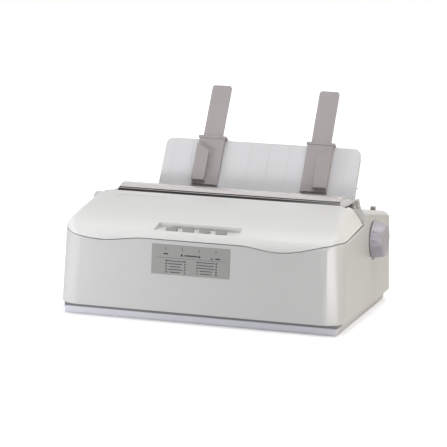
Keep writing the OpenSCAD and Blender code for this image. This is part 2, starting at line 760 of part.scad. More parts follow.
// Scalloped knob on the right end of the shaft
module platen_knob() color([0.68, 0.68, 0.73])
    translate([top_w - 0.2, platen_y, platen_z]) rotate([0, 90, 0]) difference() {
        rotate_extrude() polygon(concat(
            [[shaft_r + run_gap, -7], [6, -7], [6, 0], [knob_d / 2 - 1, 0], [knob_d / 2, 1]],
            [for (a = [0:15:90]) [knob_d / 2 - 6 + 4 * cos(a), knob_out - 4 + 4 * sin(a)]],
            [[knob_d / 2 - 9, knob_out - 0.8], [0, knob_out - 0.8], [0, knob_out - 4],
                [shaft_r + run_gap, knob_out - 4]]));
        for (a = [0:30:330]) rotate(a) translate([knob_d / 2 + 5.6, 0, 3]) cylinder(r = 7.2, h = knob_out);
    }

// Spur gear outline with true involute flanks
module gear_outline(teeth, phase) {
    rp = teeth * gear_module / 2;
    rb = rp * cos(20);
    ro = rp + gear_module;
    rr = rp - 1.2 * gear_module;
    r0 = max(rb, rr);
    half = 90 / teeth - 2.2 / teeth + roll(rp, rb);
    rotate(phase) polygon([for (k = [0:teeth - 1]) let (c = 360 * k / teeth) each concat(
        [rr * [cos(c - half), sin(c - half)]],
        [for (i = [0:3]) let (r = r0 + (ro - r0) * i / 3, a = c - half + roll(r, rb)) r * [cos(a), sin(a)]],
        [for (i = [3:-1:0]) let (r = r0 + (ro - r0) * i / 3, a = c + half - roll(r, rb))
            r * [cos(a), sin(a)]],
        [rr * [cos(c + half), sin(c + half)]])]);
}

// Turn of an involute at radius r from its base circle rb, in degrees
function roll(r, rb) = let (t = sqrt(max(0, r * r / (rb * rb) - 1))) t * 180 / PI - atan(t);

// Gear on the left end of the shaft
module platen_gear() color([0.9, 0.9, 0.86])
    translate([gear_x, platen_y, platen_z]) difference() {
        union() {
            along_x(0, gear_w) gear_outline(platen_teeth, idler_turn);
            bar_x(7, -2, 0.5, 0, 0);
        }
        bar_x(shaft_r + run_gap, -3, gear_w + 1, 0, 0);
        for (a = [0:60:300]) rotate([a, 0, 0]) bar_x(3.6, -1, gear_w + 1, 12.5, 0);
    }

// Gear between the platen and the motor's pinion
module feed_idler_gear() color([0.9, 0.9, 0.86])
    translate([gear_x, idler_y, idler_z]) difference() {
        union() {
            along_x(0, gear_w) gear_outline(idler_teeth, idler_phase);
            bar_x(5.5, -1.5, 0.5, 0, 0);
        }
        bar_x(3 + run_gap, -3, gear_w + 1, 0, 0);
        for (a = [30:60:330]) rotate([a, 0, 0]) bar_x(2.8, -1, gear_w + 1, 10.5, 0);
    }

// Pinion with the motor's shaft
module feed_pinion() color([0.78, 0.65, 0.35]) {
    translate([gear_x, pinion_y, pinion_z]) along_x(0, gear_w) gear_outline(pinion_teeth, pinion_phase);
    bar_x(2.5, gear_x - 1.5, -frame_x + frame_t + 6, pinion_y, pinion_z);
}

// Stepper motor of the paper feed
module feed_motor() color([0.35, 0.35, 0.37]) difference() {
    union() {
        bar_x(20, -frame_in + 1.5, -frame_in + 23, pinion_y, pinion_z);
        bar_x(17, -frame_in + 23, -frame_in + 24.2, pinion_y, pinion_z);
        along_x(-frame_in, 1.5) polygon(rounded([[pinion_y - 27, pinion_z - 6, 5],
            [pinion_y + 27, pinion_z - 6, 5],
            [pinion_y + 14, pinion_z + 20, 8], [pinion_y - 14, pinion_z + 20, 8]]));
    }
    bar_x(2.5 + run_gap, -frame_in - 1, -frame_in + 12, pinion_y, pinion_z);
}

// Flanged bushes in both side frames
module platen_bushes() color([0.55, 0.5, 0.42]) mirror_pair()
    translate([frame_in - 2, platen_y, platen_z]) difference() {
        union() {
            bar_x(bush_r, 0, frame_t + 3, 0, 0);
            bar_x(bush_r + 2.5, 0, 2 - run_gap, 0, 0);
        }
        bar_x(shaft_r + run_gap, -1, frame_t + 4, 0, 0);
    }

// Four rollers on one shaft below the platen
module pinch_rollers() color([0.2, 0.2, 0.2]) {
    bar_x(2, -frame_x - 1, frame_x + 1, pinch_y, pinch_z);
    for (x = pinch_x) translate([x - 10, pinch_y, pinch_z]) rotate([0, 90, 0]) rotate_extrude()
        polygon([[0, 0], [pinch_r - 0.5, 0], [pinch_r, 0.5], [pinch_r, 19.5], [pinch_r - 0.5, 20],
            [0, 20]]);
}
pinch_x = [for (i = [-1.5:1:1.5]) i * platen_len / 4.4];

// Curved guide that turns the paper round the platen
module paper_chute() color([0.5, 0.5, 0.52]) {
    inner = platen_r + 0.8;
    outer = inner + 1.5;
    difference() {
        along_x(-frame_in, 2 * frame_in) polygon(concat(
            [for (a = [-140:7:0]) [platen_y + inner * cos(a), platen_z + inner * sin(a)]],
            [[platen_y + inner, 122], [pivot_y - 2.6, 135], [pivot_y - 1, 134.5], [platen_y + outer, 121]],
            [for (a = [0:-7:-140]) [platen_y + outer * cos(a), platen_z + outer * sin(a)]]));
        for (x = pinch_x) slab([x - 11, x + 11], [pinch_y - 7, pinch_y + 7], [pinch_z - 7, pinch_z + 7]);
        // Room for the bracket of the sheet support's right pivot
        slab([support_x1 + slide_gap - 1, slot_half + 7], [pivot_y - 6, pivot_y + 16], [124, 160]);
    }
}

// ---- Steel frame of the mechanism ----

board_posts = [[-frame_in + 14, -half_d + 28], [0, -half_d + 28], [-frame_in + 14, 20], [0, 20]];
chassis_posts = [for (sx = [-1, 1], y = [rod_y - 30, platen_y + 18]) [sx * (frame_in - 10), y]];

// Outline shared by both side frames
module frame_outline() {
    polygon(rounded([[rail_y - 4, chassis_z - 6, 3], [platen_y + 76, chassis_z - 6, 3],
        [platen_y + 76, 62, 10],
        [platen_y + 40, 112, 14], [platen_y, 124, 20], [rod_y + 2, 112, 10], [rail_y - 4, 102, 6]]));
}

// Side frame with its bearing holes and two windows
module side_frame() difference() {
    along_x(-frame_x, frame_t) frame_outline();
    bar_x(bush_r + run_gap, -frame_x - 1, -frame_in + 1, platen_y, platen_z);
    bar_x(rod_r + run_gap, -frame_x - 1, -frame_in + 1, rod_y, rod_z);
    bar_x(2 + run_gap, -frame_x - 1, -frame_in + 1, pinch_y, pinch_z);
    along_x(-frame_x - 1, frame_t + 2) polygon(rounded([[rail_y + 6, 38, 4], [rod_y - 8, 38, 4],
        [rod_y - 8, 84, 4], [rail_y + 6, 84, 4]]));
    along_x(-frame_x - 1, frame_t + 2) polygon(rounded([[rod_y + 14, 32, 4], [platen_y + 4, 32, 4],
        [platen_y + 4, 70, 4], [rod_y + 14, 70, 4]]));
}

module left_side_frame() color([0.75, 0.76, 0.78]) {
    difference() {
        side_frame();
        bar_x(3.2, -frame_x - 1, -frame_in + 1, pinion_y, pinion_z);
    }
    bar_x(3, gear_x - 0.5, -frame_x + 0.5, idler_y, idler_z);
}

module right_side_frame() color([0.75, 0.76, 0.78]) difference() {
    mirror([1, 0, 0]) side_frame();
    bar_x(2 + run_gap, frame_in - 1, frame_x + 1, lever_y, lever_z);
}

// Floor of the mechanism with the carriage rail folded up along its front
module chassis_plate() color([0.78, 0.79, 0.8]) difference() {
    union() {
        along_x(-frame_in, 2 * frame_in) polygon([[rail_y, chassis_z], [platen_y + 27, chassis_z],
            [platen_y + 27, chassis_z + chassis_t], [rail_y + chassis_t, chassis_z + chassis_t],
            [rail_y + chassis_t, rail_z], [rail_y, rail_z]]);
        for (sx = [-1, 1]) along_x(sx > 0 ? frame_in - chassis_t : -frame_in, chassis_t)
            polygon([[rail_y + 8, chassis_z], [platen_y + 20, chassis_z], [platen_y + 20, chassis_z + 9],
                [rail_y + 8, chassis_z + 9]]);
        translate([pulley_x, belt_y, chassis_z]) cylinder(r = 9, h = chassis_t + 0.6);
    }
    for (x = [-90:60:90]) translate([x, platen_y - 14, chassis_z - 1]) round_block(36, 38, 4, 6);
    for (x = [-80:40:80]) translate([x, rail_y + 18, chassis_z - 1]) round_block(24, 12, 4, 4);
}

module carriage_rod() color("silver") bar_x(rod_r, -frame_x - 1, frame_x + 1, rod_y, rod_z);

// ---- Print carriage and head, drawn at the home position ----

// Carriage on the rod and the rail, with a clamp for the belt
module carriage() color([0.25, 0.25, 0.27]) translate([home_x, 0, 0]) difference() {
    union() {
        along_x(-carriage_w / 2, carriage_w) polygon([[rod_y - 11, rod_z - 8], [rod_y + 11, rod_z - 8],
            [rod_y + 11, rod_z + 8], [rod_y + 7, rod_z + 12], [rod_y - 11, rod_z + 12],
            [rod_y - 13, rod_z - 2], [rail_y - 3, rod_z - 2], [rail_y - 3.4, rail_z - 4],
            [rail_y + 4.6, rail_z - 4], [rail_y + 4.6, rod_z - 8]]);
        // Cradle that holds the head
        for (s = [-1, 1]) along_x(s * (carriage_w / 2 - 2) - 2, 4) polygon([[rod_y - 11, rod_z + 11],
            [rod_y + 7, rod_z + 11], [rod_y + 7, platen_z + 2], [rod_y + 1, platen_z + 8],
            [rod_y - 7, platen_z + 8], [rod_y - 11, platen_z]]);
        slab([-6, 6], [belt_y - pulley_r - 4.5, belt_y - pulley_r + 4.5], [belt_z0 - 2, rod_z - 7]);
    }
    bar_x(rod_r + run_gap, -carriage_w, carriage_w, rod_y, rod_z);
    slab([-carriage_w, carriage_w], [rail_y - slide_gap, rail_y + chassis_t + slide_gap],
        [0, rail_z + slide_gap]);
    slab([-carriage_w, carriage_w], [belt_y - pulley_r - belt_t / 2 - slide_gap, belt_y - pulley_r
        + belt_t / 2 + slide_gap], [0, belt_z0 + belt_w + slide_gap]);
    bar_y(head_r + run_gap, rod_y - 40, rod_y + 40, 0, platen_z);
    head_lugs(run_gap);
}

// Finned print head with its nose of pins
module print_head() color([0.16, 0.16, 0.17]) translate([home_x, 0, platen_z]) {
    face = platen_y - platen_r - 2;
    translate([0, rod_y - 17, 0]) rotate([-90, 0, 0]) rotate_extrude()
        polygon(concat([[0, 0]], [for (i = [0:5]) each [[head_r - 2, i * 4], [head_r, i * 4],
            [head_r, i * 4 + 1.8],
            [head_r - 2, i * 4 + 1.8]]], [[head_r - 2, 25], [14, 29], [9, 36], [0, 36]]));
    along_x(-6, 12) polygon([[rod_y + 12, -9], [rod_y + 24, -8], [face - 4, -5], [face, -4], [face, 4],
        [face - 4, 5], [rod_y + 24, 8], [rod_y + 12, 9]]);
    translate([0, 0, -platen_z]) head_lugs(0);
}

// Lugs that seat the head in the cradle, grown by t
module head_lugs(t) {
    for (s = [-1, 1])
        slab([s * 17 - 3.5 - t, s * 17 + 3.5 + t], [rod_y - 9 - t, rod_y + 5 + t],
            [platen_z - 8 - t, platen_z - 1 + t]);
}

// ---- Carriage drive ----

// Stepper motor of the carriage
module carriage_motor() color([0.35, 0.35, 0.37])
        translate([pulley_x, belt_y, chassis_z + chassis_t + 0.6]) difference() {
    union() {
        cylinder(r = 18, h = 23);
        translate([0, 0, 23]) cylinder(r = 6, h = 1.4);
        round_block(46, 20, 2, 4);
    }
    translate([0, 0, 6]) cylinder(r = 1.5 + run_gap, h = 30);
}

// Flanged pulley
module pulley_body() rotate_extrude() polygon([[0, -1.2], [pulley_r + 1, -1.2], [pulley_r + 1, -slide_gap],
    [pulley_r - belt_t / 2 - 0.1, -slide_gap], [pulley_r - belt_t / 2 - 0.1, belt_w + slide_gap],
    [pulley_r + 1, belt_w + slide_gap], [pulley_r + 1, belt_w + 1.2], [0, belt_w + 1.2]]);

module motor_pulley() color([0.75, 0.7, 0.5]) translate([pulley_x, belt_y, belt_z0]) {
    pulley_body();
    translate([0, 0, -16]) cylinder(r = 1.5, h = 16);
}

module idler_pulley() color([0.85, 0.85, 0.82]) translate([-pulley_x, belt_y, belt_z0]) difference() {
    pulley_body();
    translate([0, 0, -3]) cylinder(r = 2 + run_gap, h = 20);
}

module idler_post() color([0.7, 0.71, 0.73]) translate([-pulley_x, belt_y, chassis_z + chassis_t]) {
    round_block(30, 18, 2, 4);
    cylinder(r = 5, h = belt_z0 - 1.5 - chassis_z - chassis_t);
    cylinder(r = 2, h = belt_z0 + belt_w + 2.4 - chassis_z - chassis_t);
}

// Belt round both pulleys
module drive_belt() color([0.1, 0.1, 0.1]) translate([0, belt_y, belt_z0]) difference() {
    belt_loop(pulley_r + belt_t / 2, belt_w);
    translate([0, 0, -1]) belt_loop(pulley_r - belt_t / 2 + 0.1, belt_w + 2);
}

module belt_loop(r, h) {
    translate([-pulley_x, -r, 0]) cube([2 * pulley_x, 2 * r, h]);
    for (s = [-1, 1]) translate([s * pulley_x, 0, 0]) cylinder(r = r, h = h);
}

// ---- Ribbon cartridge ----

// Ribbon cartridge with two arms that reach the platen
module ribbon_cartridge() color([0.12, 0.12, 0.13]) difference() {
    union() {
        linear_extrude(cartridge_h) polygon(rounded([[-cartridge_arm_x - 10, cartridge_y0, 12],
            [cartridge_arm_x + 10, cartridge_y0, 12], [cartridge_arm_x + 12, cartridge_y1, 4],
            [cartridge_arm_x + 12, platen_y - platen_r - 4, 4],
            [cartridge_arm_x + 3, platen_y - platen_r - 1.8, 2], [cartridge_arm_x, cartridge_y1, 6],
            [-cartridge_arm_x, cartridge_y1, 6], [-cartridge_arm_x - 3, platen_y - platen_r - 1.8, 2],
            [-cartridge_arm_x - 12, platen_y - platen_r - 4, 4],
            [-cartridge_arm_x - 12, cartridge_y1, 4]]));
        mirror_pair() slab([cartridge_arm_x + 8, frame_in - 0.1], [cartridge_y1 - 6, cartridge_y1 + 6],
            [4, 8]);
    }
    // Raised rim left round the lid
    translate([0, (cartridge_y0 + cartridge_y1) / 2, cartridge_h - 0.8])
        round_block(2 * cartridge_arm_x - 6, cartridge_y1 - cartridge_y0 - 12, 3, 4);
    translate([ribbon_knob_x, (cartridge_y0 + cartridge_y1) / 2, 4]) cylinder(r = 3 + run_gap, h = 20);
}
ribbon_knob_x = -cartridge_arm_x + 28;

// Straight run of ribbon between the arms
module ink_ribbon() color([0.05, 0.05, 0.06])
    slab([-cartridge_arm_x - 8, cartridge_arm_x + 8],
        [platen_y - platen_r - 1.75, platen_y - platen_r - 1.5],
        [platen_z - ribbon_w / 2, platen_z + ribbon_w / 2]);

// Knob that takes up the ribbon
module ribbon_knob() color([0.15, 0.35, 0.55])
    translate([ribbon_knob_x, (cartridge_y0 + cartridge_y1) / 2, cartridge_z]) {
        translate([0, 0, 5]) cylinder(r = 3, h = cartridge_h - 4);
        translate([0, 0, cartridge_h + 0.4]) difference() {
            cylinder(r = 9, h = 5);
            for (a = [0:45:315]) rotate(a) translate([10.2, 0, 0.8]) cylinder(r = 2.4, h = 6);
        }
    }

// ---- Electronics ----

// Main board with its chips, capacitors and driver
module control_board() color([0.1, 0.35, 0.2]) difference() {
    union() {
        translate([0, 0, board_z]) linear_extrude(board_t) polygon([[-frame_in + 6, -half_d + 20],
            [14, -half_d + 20], [14, 30], [port_x + 34, 30], [port_x + 34, back_y - 8],
            [port_x - 34, back_y - 8], [port_x - 34, 30], [-frame_in + 6, 30]]);
        for (i = [0:2]) slab([-120 + i * 36, -98 + i * 36], [-50, -38],
            [board_z + board_t - 0.2, board_z + board_t + 3]);
        slab([-112, -76], [-92, -74], [board_z + board_t - 0.2, board_z + board_t + 3.4]);
        for (i = [0:3]) translate([-40 + i * 13, -96, board_z + board_t - 0.2]) cylinder(r = 4, h = 9);
        slab([-10, 6], [-30, 10], [board_z + board_t - 0.2, board_z + board_t + 8]);
    }
    for (p = board_posts) translate([p[0], p[1], board_z - 1]) cylinder(r = 1.6, h = 5);
    for (p = chassis_posts) translate([p[0], p[1], board_z - 1]) cylinder(r = 6, h = 5);
}

// Socket for the data cable
module interface_port() color([0.75, 0.76, 0.78])
    translate([port_x, 0, board_z + board_t]) difference() {
        union() {
            slab([-29, 29], [back_y - 26, back_y - 12], [0, 26]);
            along_y(back_y - 12, 10) polygon(rounded([[-26, 11, 2], [26, 11, 2], [28, 24, 2],
                [-28, 24, 2]]));
        }
        along_y(back_y - 10, 12) polygon(rounded([[-24, 12.6, 2], [24, 12.6, 2], [26, 22.4, 2],
            [-26, 22.4, 2]]));
    }

// Transformer, heat sink and their plate
module power_supply() color([0.7, 0.71, 0.72]) difference() {
    union() {
        slab([28, frame_in - 8], [platen_y + 34, platen_y + 80], [tray_top, tray_top + 2]);
        slab([72, frame_in - 14], [platen_y + 38, platen_y + 76], [tray_top + 1.5, 54]);
        slab([34, 66], [platen_y + 44, platen_y + 47], [tray_top + 1.5, 46]);
        for (i = [0:6]) slab([35 + i * 5, 36.5 + i * 5], [platen_y + 46.5, platen_y + 58],
            [tray_top + 1.5, 46]);
    }
    for (i = [0:2]) slab([60, frame_in], [platen_y + 46 + i * 9, platen_y + 50 + i * 9], [44, 60]);
}

// Inlet for the power cord
module power_inlet() color([0.08, 0.08, 0.09]) translate([inlet_x, 0, rear_hole_z]) difference() {
    union() {
        slab([-13.8, 13.8], [back_y - 20, back_y + flange_seat + 0.5], [-10.3, 10.3]);
        slab([-16, 16], [back_y + flange_seat, back_y + flange_seat + 1.2], [-12.5, 12.5]);
    }
    along_y(back_y - 15, 20) polygon([[-11, -8], [11, -8], [11, 3], [7, 8], [-7, 8], [-11, 3]]);
}

// Frame of the power switch
module power_switch_body() color([0.08, 0.08, 0.09]) translate([switch_x, 0, rear_hole_z]) difference() {
    union() {
        slab([-9.8, 9.8], [back_y - 18, back_y + flange_seat + 0.5], [-6.8, 6.8]);
        slab([-11.5, 11.5], [back_y + flange_seat, back_y + flange_seat + 1.2], [-8.5, 8.5]);
    }
    slab([-8.3, 8.3], [back_y - 9, back_y + 5], [-5.3, 5.3]);
    translate([0, rocker_y, 0])
        cylinder(r = rocker_pin_r + run_gap, h = 2 * rocker_pin_h + 0.4, center = true);
}

rocker_y = back_y - 2;
rocker_pin_r = 1;
rocker_pin_h = 6;

// Rocker on two short pins
module power_rocker() color([0.1, 0.1, 0.11]) translate([switch_x, rocker_y, rear_hole_z]) {
    rotate([0, 0, 8]) linear_extrude(10, center = true)
        polygon([[-7.6, -1.5], [0, -4.5], [7.6, -1.5], [7.6, 2], [4, 2.6], [0, 2], [-4, 2.6], [-7.6, 2]]);
    cylinder(r = rocker_pin_r, h = 2 * rocker_pin_h, center = true);
}

// Stud that carries the release lever
module lever_stud() color("silver") {
    bar_x(2, frame_in - 0.5, lever_x + 3, lever_y, lever_z);
    bar_x(3.2, frame_x + slide_gap, lever_x - 1.8, lever_y, lever_z);
}

// Paper release lever
module release_lever() color([0.35, 0.35, 0.37]) difference() {
    union() {
        along_x(lever_x - 1.5, 3) polygon(concat(
            [for (a = [180:30:360]) [lever_y + 5 * cos(a), lever_z + 5 * sin(a)]],
            [[lever_y + 3, lever_z + 10], [lever_y + 3.5, lever_top - 4], [lever_y - 3.5, lever_top - 4],
                [lever_y - 3, lever_z + 10]]));
        along_x(lever_x - 2.8, 5.6) polygon(rounded([[lever_y - 4.5, lever_top - 7, 1],
            [lever_y + 4.5, lever_top - 7, 1],
            [lever_y + 3.5, lever_top, 1.5], [lever_y - 3.5, lever_top, 1.5]]));
    }
    bar_x(2 + run_gap, lever_x - 3, lever_x + 3, lever_y, lever_z);
}

// ---- Drawing ----

// Moves the case so that the whole machine is centred
module placed() {
    translate([frame_shift, 0, 0]) children();
}
placed() base_tray();
placed() rubber_feet();
placed() case_screws();
placed() upper_case();
placed() access_cover();
placed() smoked_cover();
placed() sheet_support();
placed() left_guide();
placed() right_guide();
placed() left_arm();
placed() right_arm();
placed() button(0);  // button_1
placed() button(1);  // button_2
placed() button(2);  // button_3
placed() button(3);  // button_4
placed() switch_board();
placed() front_label();
placed() platen_roller();
placed() platen_shaft();
placed() platen_knob();
placed() platen_gear();
placed() platen_bushes();
placed() feed_idler_gear();
placed() feed_pinion();
placed() feed_motor();
placed() pinch_rollers();
placed() paper_chute();
placed() left_side_frame();
placed() right_side_frame();
placed() chassis_plate();
placed() carriage_rod();
placed() carriage();
placed() print_head();
placed() carriage_motor();
placed() motor_pulley();
placed() idler_post();
placed() idler_pulley();
placed() drive_belt();
placed() translate([0, 0, cartridge_z]) ribbon_cartridge();
placed() ink_ribbon();
placed() ribbon_knob();
placed() control_board();
placed() interface_port();
placed() power_supply();
placed() power_inlet();
placed() power_switch_body();
placed() power_rocker();
placed() release_lever();
placed() lever_stud();
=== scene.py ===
import math
import bpy
from mathutils import Matrix, Vector
from mathutils.bvhtree import BVHTree


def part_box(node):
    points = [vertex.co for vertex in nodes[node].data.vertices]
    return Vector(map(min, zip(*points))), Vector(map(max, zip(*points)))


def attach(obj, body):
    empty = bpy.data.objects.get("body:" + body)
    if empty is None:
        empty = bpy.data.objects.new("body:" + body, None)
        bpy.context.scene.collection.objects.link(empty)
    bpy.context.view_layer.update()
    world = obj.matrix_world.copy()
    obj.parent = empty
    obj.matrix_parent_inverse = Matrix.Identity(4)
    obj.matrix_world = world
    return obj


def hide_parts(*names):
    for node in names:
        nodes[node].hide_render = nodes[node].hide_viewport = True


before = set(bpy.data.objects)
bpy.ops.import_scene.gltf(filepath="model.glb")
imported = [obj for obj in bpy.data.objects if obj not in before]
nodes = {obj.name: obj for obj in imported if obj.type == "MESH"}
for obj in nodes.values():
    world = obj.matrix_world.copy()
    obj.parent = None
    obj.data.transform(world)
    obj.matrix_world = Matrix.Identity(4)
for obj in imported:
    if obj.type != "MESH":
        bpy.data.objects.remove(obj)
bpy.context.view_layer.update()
scene = bpy.context.scene
scene.view_settings.view_transform = "Standard"

# ---- Camera, floor and studio light ----
# The machine stands on a plain pale floor under large soft lamps. The camera looks at its
# front from a little to the right and above, as far off as a long lens needs.
camera_data = bpy.data.cameras.new("camera")
camera = bpy.data.objects.new("camera", camera_data)
scene.collection.objects.link(camera)
scene.camera = camera
camera_data.sensor_width = 36
camera_data.lens = 166.31
camera_data.clip_end = 50
turn, tilt, lean = math.radians(16.789), math.radians(9.302), math.radians(1.582)
back = Vector((math.sin(turn) * math.cos(tilt), -math.cos(turn) * math.cos(tilt), math.sin(tilt)))
right = Vector((math.cos(turn), math.sin(turn), 0))
up = back.cross(right)
rolled_right = math.cos(lean) * right + math.sin(lean) * up
rolled_up = math.cos(lean) * up - math.sin(lean) * right
camera_place = (0.74373, -2.52027, 0.53919)
camera.matrix_world = Matrix.Translation(camera_place) @ Matrix(
    (rolled_right, rolled_up, back)).transposed().to_4x4()

# The room lights the machine dimly, a little warmer from the right
world = bpy.data.worlds.new("studio")
scene.world = world
world.use_nodes = True
sky_nodes, sky_links = world.node_tree.nodes, world.node_tree.links
sky_nodes.clear()
sky_out = sky_nodes.new("ShaderNodeOutputWorld")
sky_mix = sky_nodes.new("ShaderNodeMixShader")
sky_room = sky_nodes.new("ShaderNodeBackground")
sky_place = sky_nodes.new("ShaderNodeTexCoord")
sky_side = sky_nodes.new("ShaderNodeSeparateXYZ")
sky_warm = sky_nodes.new("ShaderNodeMix")
sky_warm.data_type = "RGBA"
sky_warm.inputs["A"].default_value = (0.99, 0.99, 1.0, 1)
sky_warm.inputs["B"].default_value = (1.0, 0.91, 0.68, 1)
sky_links.new(sky_place.outputs["Generated"], sky_side.inputs[0])
sky_links.new(sky_side.outputs["X"], sky_warm.inputs["Factor"])
sky_links.new(sky_warm.outputs["Result"], sky_room.inputs["Color"])
sky_room.inputs["Strength"].default_value = 0.24
sky_white = sky_nodes.new("ShaderNodeBackground")
sky_white.inputs["Color"].default_value = (1, 1, 1, 1)
sky_path = sky_nodes.new("ShaderNodeLightPath")
# The backdrop is pure white to the camera and a little darker where the machine mirrors it
mirrored_white = 0.8
sky_level = sky_nodes.new("ShaderNodeMath")
sky_level.operation = "MULTIPLY_ADD"
sky_level.inputs[1].default_value = 1 - mirrored_white
sky_level.inputs[2].default_value = mirrored_white
sky_links.new(sky_path.outputs["Is Camera Ray"], sky_level.inputs[0])
sky_links.new(sky_level.outputs[0], sky_white.inputs["Strength"])
sky_any = sky_nodes.new("ShaderNodeMath")
sky_any.operation = "MAXIMUM"
sky_see = sky_nodes.new("ShaderNodeMath")
sky_see.operation = "MAXIMUM"
sky_links.new(sky_path.outputs["Is Camera Ray"], sky_any.inputs[0])
sky_links.new(sky_path.outputs["Is Glossy Ray"], sky_any.inputs[1])
sky_links.new(sky_any.outputs[0], sky_see.inputs[0])
sky_links.new(sky_path.outputs["Is Transmission Ray"], sky_see.inputs[1])
sky_links.new(sky_see.outputs[0], sky_mix.inputs["Fac"])
sky_links.new(sky_room.outputs[0], sky_mix.inputs[1])
sky_links.new(sky_white.outputs[0], sky_mix.inputs[2])
sky_links.new(sky_mix.outputs[0], sky_out.inputs["Surface"])

# Place, width, height, watts and tint of each lamp. All of them aim at the machine's middle.
aim = Vector((0, 0, 0.08))
for lamp_name, place, width, height, power, tint in (
    ("lamp_top", (0.3, -0.2, 2.4), 1.8, 1.8, 42, (1, 1, 1)),
    ("lamp_left", (-0.62, -0.56, 0.06), 0.4, 0.11, 3.3, (0.98, 0.99, 1)),
    ("lamp_right", (1.5, 0.2, 0.12), 0.8, 0.22, 6, (1, 0.88, 0.66)),
    ("lamp_corner", (0.5, -0.5, 0.06), 0.3, 0.12, 0.3, (0.97, 0.98, 1)),
):
    lamp_data = bpy.data.lights.new(lamp_name, "AREA")
    lamp_data.shape = "RECTANGLE"
    lamp_data.size = width
    lamp_data.size_y = height
    lamp_data.energy = power
    lamp_data.color = tint
    lamp = bpy.data.objects.new(lamp_name, lamp_data)
    lamp.visible_camera = False
    lamp.visible_glossy = lamp_name in ("lamp_top", "lamp_corner")
    lamp.matrix_world = Matrix.Translation(place) @ (
        aim - Vector(place)).to_track_quat("-Z", "Y").to_matrix().to_4x4()
    scene.collection.objects.link(lamp)

# To the camera alone the floor also glows, less under the machine than far from it, so that
# it fades to white and keeps a soft shadow at the feet
bpy.ops.object.select_all(action="DESELECT")
bpy.ops.mesh.primitive_plane_add(size=12, location=(0, 0, 0))
floor = bpy.context.active_object
floor.name = "studio_floor"
floor_paint = bpy.data.materials.new("floor_paint")
floor_paint.use_nodes = True
floor_nodes, floor_links = floor_paint.node_tree.nodes, floor_paint.node_tree.links
floor_nodes.clear()
floor_out = floor_nodes.new("ShaderNodeOutputMaterial")
floor_shade = floor_nodes.new("ShaderNodeBsdfDiffuse")
floor_shade.inputs["Color"].default_value = (0.7, 0.7, 0.7, 1)
floor_glow = floor_nodes.new("ShaderNodeEmission")
floor_see = floor_nodes.new("ShaderNodeLightPath")
floor_lit = floor_nodes.new("ShaderNodeMath")
floor_lit.operation = "MULTIPLY"
floor_place = floor_nodes.new("ShaderNodeTexCoord")
floor_far = floor_nodes.new("ShaderNodeVectorMath")
floor_far.operation = "LENGTH"
floor_rise = floor_nodes.new("ShaderNodeMapRange")
floor_rise.inputs["From Min"].default_value = 0.25
floor_rise.inputs["From Max"].default_value = 1.6
floor_rise.inputs["To Min"].default_value = 0.58
floor_rise.inputs["To Max"].default_value = 1.0
floor_links.new(floor_place.outputs["Object"], floor_far.inputs[0])
floor_links.new(floor_far.outputs["Value"], floor_rise.inputs["Value"])
floor_links.new(floor_rise.outputs["Result"], floor_lit.inputs[1])
floor_add = floor_nodes.new("ShaderNodeAddShader")
floor_links.new(floor_see.outputs["Is Camera Ray"], floor_lit.inputs[0])
floor_links.new(floor_lit.outputs[0], floor_glow.inputs["Strength"])
floor_links.new(floor_shade.outputs[0], floor_add.inputs[0])
floor_links.new(floor_glow.outputs[0], floor_add.inputs[1])
floor_links.new(floor_add.outputs[0], floor_out.inputs["Surface"])
floor.data.materials.append(floor_paint)

# ---- Reflector card ----
# A bent card that glows, stood round the right front corner. Only reflections and clear
# plastic see it, and it gives the rounded corner its bright streak.
card_middle = Vector((0.165, -0.12, 0.1))
card_radius, card_height = 0.2, 0.2
card_angle, card_spread = 38, 84
bpy.ops.object.select_all(action="DESELECT")
bpy.ops.mesh.primitive_grid_add(x_subdivisions=12, y_subdivisions=1, size=1, location=(0, 0, 0))
card = bpy.context.active_object
card.name = "reflector_card"
for point in card.data.vertices:
    angle = math.radians(card_angle + point.co.x * card_spread)
    point.co = card_middle + Vector((card_radius * math.sin(angle),
        -card_radius * math.cos(angle), point.co.y * card_height))
card.visible_camera = False
card.visible_diffuse = False
card.visible_shadow = False
card_paint = bpy.data.materials.new("card_glow")
card_paint.use_nodes = True
card_nodes, card_links = card_paint.node_tree.nodes, card_paint.node_tree.links
card_nodes.clear()
card_out = card_nodes.new("ShaderNodeOutputMaterial")
card_glow = card_nodes.new("ShaderNodeEmission")
card_place = card_nodes.new("ShaderNodeTexCoord")
card_axes = card_nodes.new("ShaderNodeSeparateXYZ")
card_fade = card_nodes.new("ShaderNodeMapRange")
card_fade.inputs["From Max"].default_value = 0.5
card_fade.inputs["To Min"].default_value = 0.6
card_fade.inputs["To Max"].default_value = 5.2
card_links.new(card_place.outputs["Generated"], card_axes.inputs[0])
card_links.new(card_axes.outputs["X"], card_fade.inputs["Value"])
card_links.new(card_fade.outputs["Result"], card_glow.inputs["Strength"])
card_links.new(card_glow.outputs[0], card_out.inputs["Surface"])
card.data.materials.append(card_paint)

# ---- Base tray ----
# One shallow polystyrene tray that carries the whole machine. Its blue-grey moulding has a
# fine spark-eroded grain, and its edges are eased by the mould.


def socket(group, name, way, value=0):
    """Adds one number to a node group's interface."""
    group.interface.new_socket(name=name, in_out=way,
        socket_type="NodeSocketFloat").default_value = value


